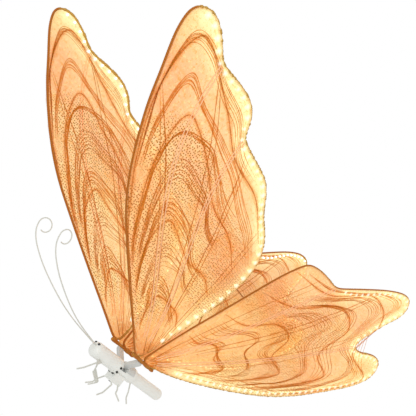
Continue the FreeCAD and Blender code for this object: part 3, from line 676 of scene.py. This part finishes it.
def build_print(sheet, cloth, name, strokes, lift, material):
    """The drawn lines as thin ribbons lying on one face of the cloth."""
    tree = BVHTree.FromObject(cloth, bpy.context.evaluated_depsgraph_get())
    vertices, faces, across, inks, strengths, places = [], [], [], [], [], []
    for points, width, ink in strokes:
        path = smooth_path(points, 4)
        keep = inside(path, sheet.loop)
        path = path[keep]
        if len(path) < 3:
            continue
        along = np.gradient(path, axis=0)
        along /= np.linalg.norm(along, axis=1)[:, None]
        side = np.stack([-along[:, 1], along[:, 0]], axis=1)
        share = np.linspace(0, 1, len(path))
        taper = np.clip(np.sin(np.pi * share) * 3, 0.25, 1)
        for index, (spot, cross, thin) in enumerate(zip(path, side, taper)):
            half = width * thin * (0.6 + 0.13 * math.sin(index * 0.7 + ink * 9))
            for offset in (-1, 0, 1):
                f, u = spot + cross * half * offset
                vertices.append(drape(tree, sheet, f, u, lift))
                places.append((f, u))
                across.append(abs(offset))
                inks.append(ink)
                strengths.append(0.85 if width < WASH_WIDTH else 0.4)
            if index:
                base = len(vertices) - 6
                for k in (0, 1):
                    faces.append((base + k, base + k + 1, base + k + 4, base + k + 3))
    obj = new_mesh(name, vertices, faces, material)
    map_flat(obj, places)
    paint(obj, "across", across)
    paint(obj, "ink", inks)
    paint(obj, "strength", strengths)
    return obj


POOL_RADIUS = 5.4
POOL_SIDES = 16


def build_pools(sheet, cloth, name, lamps, lift, material):
    """A soft disc of light on one face of the cloth over each lamp."""
    tree = BVHTree.FromObject(cloth, bpy.context.evaluated_depsgraph_get())
    vertices, faces, rim = [], [], []
    for f, u in lamps:
        base = len(vertices)
        vertices.append(drape(tree, sheet, f, u, lift))
        rim.append(0.0)
        radius = POOL_RADIUS * random.uniform(0.75, 1.15)
        for level in (0.5, 1.0):
            for k in range(POOL_SIDES):
                turn = 2 * math.pi * k / POOL_SIDES
                reach = radius * level
                spot = drape(tree, sheet, f + reach * math.cos(turn), u + reach * math.sin(turn), lift)
                vertices.append(spot)
                rim.append(level)
        for k in range(POOL_SIDES):
            k2 = (k + 1) % POOL_SIDES
            inner, inner2 = base + 1 + k, base + 1 + k2
            faces.append((base, inner, inner2))
            faces.append((inner, inner + POOL_SIDES, inner2 + POOL_SIDES, inner2))
    obj = new_mesh(name, vertices, faces, material)
    paint(obj, "rim", rim)
    return obj


BINDING_SIDES = 10
WRAP_PITCH = 3.2


def build_binding(sheet, name, wire_radius, lead_side, material):
    """Cloth tape wound round the edge wire, with a groove at every turn."""
    closed = np.vstack([sheet.loop, sheet.loop[:1]])
    lengths = np.concatenate([[0], np.cumsum(np.linalg.norm(np.diff(closed, axis=0), axis=1))])
    marks = np.linspace(0, lengths[-1], int(lengths[-1] / 1.1), endpoint=False)
    path = np.stack([np.interp(marks, lengths, closed[:, k]) for k in (0, 1)], axis=1)
    along = np.roll(path, -4, axis=0) - np.roll(path, 4, axis=0)
    along /= np.linalg.norm(along, axis=1)[:, None]
    centre = sheet.loop.mean(axis=0)
    vertices, faces, lead, grooves = [], [], [], []
    count = len(path)
    turns = round(lengths[-1] / WRAP_PITCH)
    beads = [random.uniform(-0.5, 0.6) for _ in range(count // 3 + 1)]
    for index, ((f, u), (df, du)) in enumerate(zip(path, along)):
        middle_point = sheet.place(f, u, -wire_radius)
        ahead = (sheet.place(f + df, u + du) - sheet.place(f, u)).normalized()
        cross = ahead.cross(sheet.normal).normalized()
        outward = np.array([du, -df])
        outward = outward if outward @ (path[index] - centre) > 0 else -outward
        near_root = max(0.0, 1 - math.hypot(f - ROOT[0], u - ROOT[1]) / 30)
        facing = float(np.clip(outward @ np.array(lead_side) * 2.2 - 0.4, 0, 1))
        for k in range(BINDING_SIDES):
            turn = 2 * math.pi * k / BINDING_SIDES
            groove = abs(math.sin(math.pi * turns * index / count + turn / 2)) ** 4
            bead = (1 - facing) * beads[index // 3]
            radius = (wire_radius + 0.4 * near_root + bead - 0.25 * groove) * MM
            vertices.append(middle_point + cross * (radius * math.cos(turn))
                            + sheet.normal * (radius * math.sin(turn)))
            lead.append(max(facing, min(1, near_root * 1.6)))
            grooves.append(groove)
    for index in range(count):
        nxt = (index + 1) % count
        for k in range(BINDING_SIDES):
            k2 = (k + 1) % BINDING_SIDES
            faces.append((index * BINDING_SIDES + k, index * BINDING_SIDES + k2,
                          nxt * BINDING_SIDES + k2, nxt * BINDING_SIDES + k))
    obj = new_mesh(name, vertices, faces, material)
    paint(obj, "lead", lead)
    paint(obj, "groove", grooves)
    return obj


BAR_RADIUS = 3.0
BAR_SIDES = 14
BAR_STEP = 0.8
BAR_ROUNDED_FROM = 0.9       # share of the half-length where the bar starts to round off
BAR_BUNCHES = 12


def build_root_wrap(side, material):
    """Bar at the wing's root, bound round and round with tape that bunches up in places."""
    random.seed("root bar")
    corners = [v.co for v in frame["nodes"][f"{side}_root_bar"].data.vertices]
    front = max(corners, key=lambda point: point.dot(FORWARD))
    rear = min(corners, key=lambda point: point.dot(FORWARD))
    near_front = [point for point in corners if (front - point).dot(FORWARD) < 2 * BAR_RADIUS * MM]
    near_rear = [point for point in corners if (point - rear).dot(FORWARD) < 2 * BAR_RADIUS * MM]
    start = sum(near_rear, Vector()) / len(near_rear)
    end = sum(near_front, Vector()) / len(near_front)
    along = (end - start).normalized()
    start, end = start - along * (BAR_RADIUS * MM), end + along * (BAR_RADIUS * MM)
    out = along.cross(UP).normalized()
    rise = out.cross(along)
    steps = int((end - start).length / (BAR_STEP * MM))
    bunches = smooth_path([(k, random.uniform(-0.5, 0.9)) for k in range(BAR_BUNCHES)], 1 / BAR_BUNCHES)[:, 1]
    vertices, faces, lead, grooves = [], [], [], []
    for index in range(steps + 1):
        share = index / steps
        centre = start + (end - start) * share
        bulge = bunches[int(share * (len(bunches) - 1))]
        past = max(0.0, abs(2 * share - 1) - BAR_ROUNDED_FROM) / (1 - BAR_ROUNDED_FROM)
        taper = math.sqrt(max(0.0, 1 - past ** 2))
        for k in range(BAR_SIDES):
            turn = 2 * math.pi * k / BAR_SIDES
            groove = abs(math.sin(math.pi * index * BAR_STEP / WRAP_PITCH + turn / 2)) ** 3
            radius = (BAR_RADIUS + bulge + 0.1 - 0.45 * groove) * taper * MM
            vertices.append(centre + out * (radius * math.cos(turn)) + rise * (radius * math.sin(turn)))
            lead.append(0.85 + 0.15 * math.sin(share * 17))
            grooves.append(groove)
    for index in range(steps):
        for k in range(BAR_SIDES):
            k2 = (k + 1) % BAR_SIDES
            base = index * BAR_SIDES
            faces.append((base + k, base + k2, base + BAR_SIDES + k2, base + BAR_SIDES + k))
    obj = new_mesh(f"{side}_root_wrap", vertices, faces, material)
    paint(obj, "lead", lead)
    paint(obj, "groove", grooves)
    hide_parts(f"{side}_root_bar")
    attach(obj, f"{side}_wing")


def build_gusset(side, material):
    """Soft strip of doubled cloth between the two edge wires."""
    sheet = WingSheet(f"{side}_wing_gusset", SIDES[side])
    patch = (*sheet.loop.mean(axis=0), *np.ptp(sheet.loop, axis=0) / 2, 1.0)
    obj = build_sheet(sheet, f"{side}_gusset_sheet", [], [], ([], [patch], []), material)
    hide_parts(f"{side}_wing_gusset")
    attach(obj, f"{side}_wing")


def lamp_places(side):
    """Middle of every lamp of a wing pair."""
    return [sum(shell, Vector()) / len(shell) for shell in mesh_islands(frame["nodes"][f"{side}_lamps"])]


FACES = {"outer": 1, "inner": -1}


BINDING_RADIUS = {"forewing": 2.0, "hindwing": 1.8}
LAMP_REACH = 12.0            # a lamp this near a wing's outline belongs to that wing
PRINT_LIFT = 0.25            # print and light lie this far off the cloth, in mm
POOL_LIFT = 0.5


def build_wing(side, wing, looks):
    """All the soft and bound pieces of one wing."""
    lead_side, fan = WINGS[wing]
    random.seed(wing)        # so that left and right carry the same print
    body = f"{side}_wing"
    label = f"{side}_{wing}"
    sheet = WingSheet(f"{label}_cloth", SIDES[side])
    rib_shells = mesh_islands(frame["nodes"][f"{label}_ribs"])
    ribs = [flatten(point) for shell in rib_shells for point in shell]
    spots = np.array([flatten(point) for point in lamp_places(side)])
    closed = np.vstack([sheet.loop, sheet.loop[:1]])
    close = inside(spots, sheet.loop) & (distance_to_path(spots, closed) < LAMP_REACH)
    spots = spots[close]
    edge = outer_edge(sheet.loop)
    patches = tone_patches(edge)
    cloth = build_sheet(sheet, f"{label}_sheet", ribs, spots, patches, looks["cloth"])
    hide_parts(f"{label}_cloth")
    pieces = [cloth]
    drawn = all_strokes(edge, fan)
    for face, way in FACES.items():
        name = f"{label}_print_{face}"
        prints = build_print(sheet, cloth, name, drawn, PRINT_LIFT * way, looks["ink"])
        name = f"{label}_lamp_pools_{face}"
        pools = build_pools(sheet, cloth, name, spots, POOL_LIFT * way, looks["pool"])
        pieces += [prints, pools]
    binding = build_binding(sheet, f"{label}_binding", BINDING_RADIUS[wing], lead_side, looks["binding"])
    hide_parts(f"{label}_frame")
    for piece in pieces + [binding]:
        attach(piece, body)


# ------------------------------------------------------------------ body
def body_looks():
    """Material of every record slot whose CAD shape is shown as it is."""
    return {
        "edge_wrap": solid_material(
            "bridge_tape", (0.55, 0.19, 0.03, 1), (0.28, 0.08, 0.01, 1), 0.7, 300, 0.2 * MM),
        "rib_wire": solid_material(
            "rib_coating", (0.98, 0.66, 0.38, 1), (0.86, 0.42, 0.20, 1), 0.5, 60, 0.05 * MM),
        "lamp": lamp_material(),
        "lamp_cable": solid_material(
            "cable_skin", (1.0, 0.93, 0.74, 1), (0.93, 0.80, 0.55, 1), 0.3, 200, 0.05 * MM),
        "grey_plastic": solid_material(
            "grey_moulding", grey(0.66), (0.5, 0.52, 0.47, 1), 0.5, 120, 0.08 * MM),
        "gear_plastic": solid_material("acetal", grey(0.85), grey(0.74), 0.35, 140, 0.04 * MM),
        "steel": solid_material(
            "ground_steel", grey(0.62), grey(0.48), 0.28, 160, 0.03 * MM, metallic=1.0),
        "brass": solid_material(
            "turned_brass", (0.83, 0.63, 0.3, 1), (0.66, 0.46, 0.18, 1), 0.3, 200, 0.03 * MM, metallic=1.0),
        "motor_steel": solid_material(
            "motor_can", grey(0.55), grey(0.42), 0.32, 160, 0.03 * MM, metallic=1.0),
        "white_plastic": solid_material(
            "body_moulding", (0.84, 0.85, 0.81, 1), (0.72, 0.73, 0.68, 1), 0.42, 60, 0.06 * MM),
        "black_bead": solid_material("bead", grey(0.015), grey(0.004), 0.12, 200, 0.01 * MM, coat=0.6),
        "black_metal": solid_material(
            "black_oxide", (0.04, 0.04, 0.03, 1), grey(0.015), 0.35, 260, 0.03 * MM, metallic=0.6),
        "wire_grey": solid_material(
            "coated_wire", (0.72, 0.72, 0.66, 1), (0.52, 0.52, 0.46, 1), 0.45, 220, 0.04 * MM),
        "button_plastic": solid_material("button", grey(0.1), grey(0.05), 0.55, 240, 0.05 * MM),
        "board": solid_material(
            "solder_mask", (0.06, 0.26, 0.1, 1), (0.03, 0.16, 0.06, 1), 0.3, 260, 0.04 * MM),
        "cell_foil": solid_material("foil_pouch", grey(0.68), grey(0.5), 0.3, 180, 0.1 * MM, metallic=0.9),
    }


def dress_cad_nodes(looks):
    for entry in frame["record"]["subparts"]:
        slot = entry["material_slot"]
        if slot in looks:
            obj = frame["nodes"][entry["node"]]
            obj.data.materials.clear()
            obj.data.materials.append(looks[slot])


# ------------------------------------------------------------------ stage
VIEW_AZIMUTH = math.radians(50)
VIEW_ELEVATION = math.radians(18)
VIEW_DISTANCE = 1.0
VIEW_LENS = 51.9
AIM_RIGHT = 0.134            # the camera looks past the body by this much, in metres
AIM_UP = 0.275


FLOOR_HALF = 6.0
FLOOR_GAP = 0.006


def stage_floor():
    low, _ = cad_box
    n = Nodes("pale_floor")
    tone = n.mix(n.noise(3.0, 4), grey(0.80), grey(0.86))
    dull = n.add("BsdfDiffuse", {"Color": tone}).outputs[0]
    bright = n.add("Emission", {"Color": grey(1.0), "Strength": 1.0}).outputs[0]
    seen = n.add("LightPath").outputs["Is Camera Ray"]
    floor_material = n.finish(n.add("MixShader", {0: seen, 1: dull, 2: bright}).outputs[0])
    half = FLOOR_HALF
    drop = low[2] - FLOOR_GAP
    corners = [(-half, -half, drop), (half, -half, drop), (half, half, drop), (-half, half, drop)]
    floor = new_mesh("stage_floor", corners, [(0, 1, 2, 3)], floor_material, smooth=False)


def add_light(name, place, aim, size, power):
    data = bpy.data.lights.new(name, "AREA")
    data.shape = "DISK"
    data.size = size
    data.energy = power
    lamp = bpy.data.objects.new(name, data)
    lamp.location = place
    lamp.rotation_euler = (aim - place).to_track_quat("-Z", "Y").to_euler()
    bpy.context.scene.collection.objects.link(lamp)


SKY_LIGHT = 0.76


def stage_light():
    """Soft even studio light; the camera itself sees a plain white backdrop."""
    world = bpy.data.worlds.new("studio")
    world.use_nodes = True
    tree = world.node_tree
    sky = tree.nodes["Background"]
    sky.inputs["Color"].default_value = grey(1.0)
    seen = tree.nodes.new("ShaderNodeLightPath").outputs["Is Camera Ray"]
    strength = tree.nodes.new("ShaderNodeMapRange")
    strength.inputs["To Min"].default_value = SKY_LIGHT
    strength.inputs["To Max"].default_value = 1.0
    tree.links.new(seen, strength.inputs["Value"])
    tree.links.new(strength.outputs["Result"], sky.inputs["Strength"])
    bpy.context.scene.world = world
    aim = BODY_MIDDLE + Vector((0, 0.15, 0.15))
    add_light("key", aim + Vector((1.6, -1.2, 1.4)), aim, 1.2, 18)
    add_light("back", aim + Vector((-1.2, 1.6, 1.2)), aim, 1.4, 18)
    bpy.context.scene.view_settings.view_transform = "Standard"


def stage_camera():
    """Camera in front, to the left and above, looking past the body into the wings."""
    back = Vector((math.sin(VIEW_AZIMUTH) * math.cos(VIEW_ELEVATION),
                   -math.cos(VIEW_AZIMUTH) * math.cos(VIEW_ELEVATION), math.sin(VIEW_ELEVATION)))
    right = Vector((math.cos(VIEW_AZIMUTH), math.sin(VIEW_AZIMUTH), 0))
    up = back.cross(right)
    aim = BODY_MIDDLE + right * AIM_RIGHT + up * AIM_UP
    data = bpy.data.cameras.new("view")
    data.lens = VIEW_LENS
    camera = bpy.data.objects.new("view", data)
    camera.location = aim + back * VIEW_DISTANCE
    camera.rotation_euler = back.to_track_quat("Z", "Y").to_euler()
    bpy.context.scene.collection.objects.link(camera)
    bpy.context.scene.camera = camera


# ------------------------------------------------------------------ build everything
dress_cad_nodes(body_looks())
wing_looks = {
    "cloth": cloth_material(),
    "ink": ink_material(),
    "pool": halo_material(),
    "binding": binding_material(),
}
for side_name in SIDES:
    for wing_name in WINGS:
        build_wing(side_name, wing_name, wing_looks)
    build_gusset(side_name, wing_looks["cloth"])
    build_root_wrap(side_name, wing_looks["binding"])
stage_floor()
stage_light()
stage_camera()
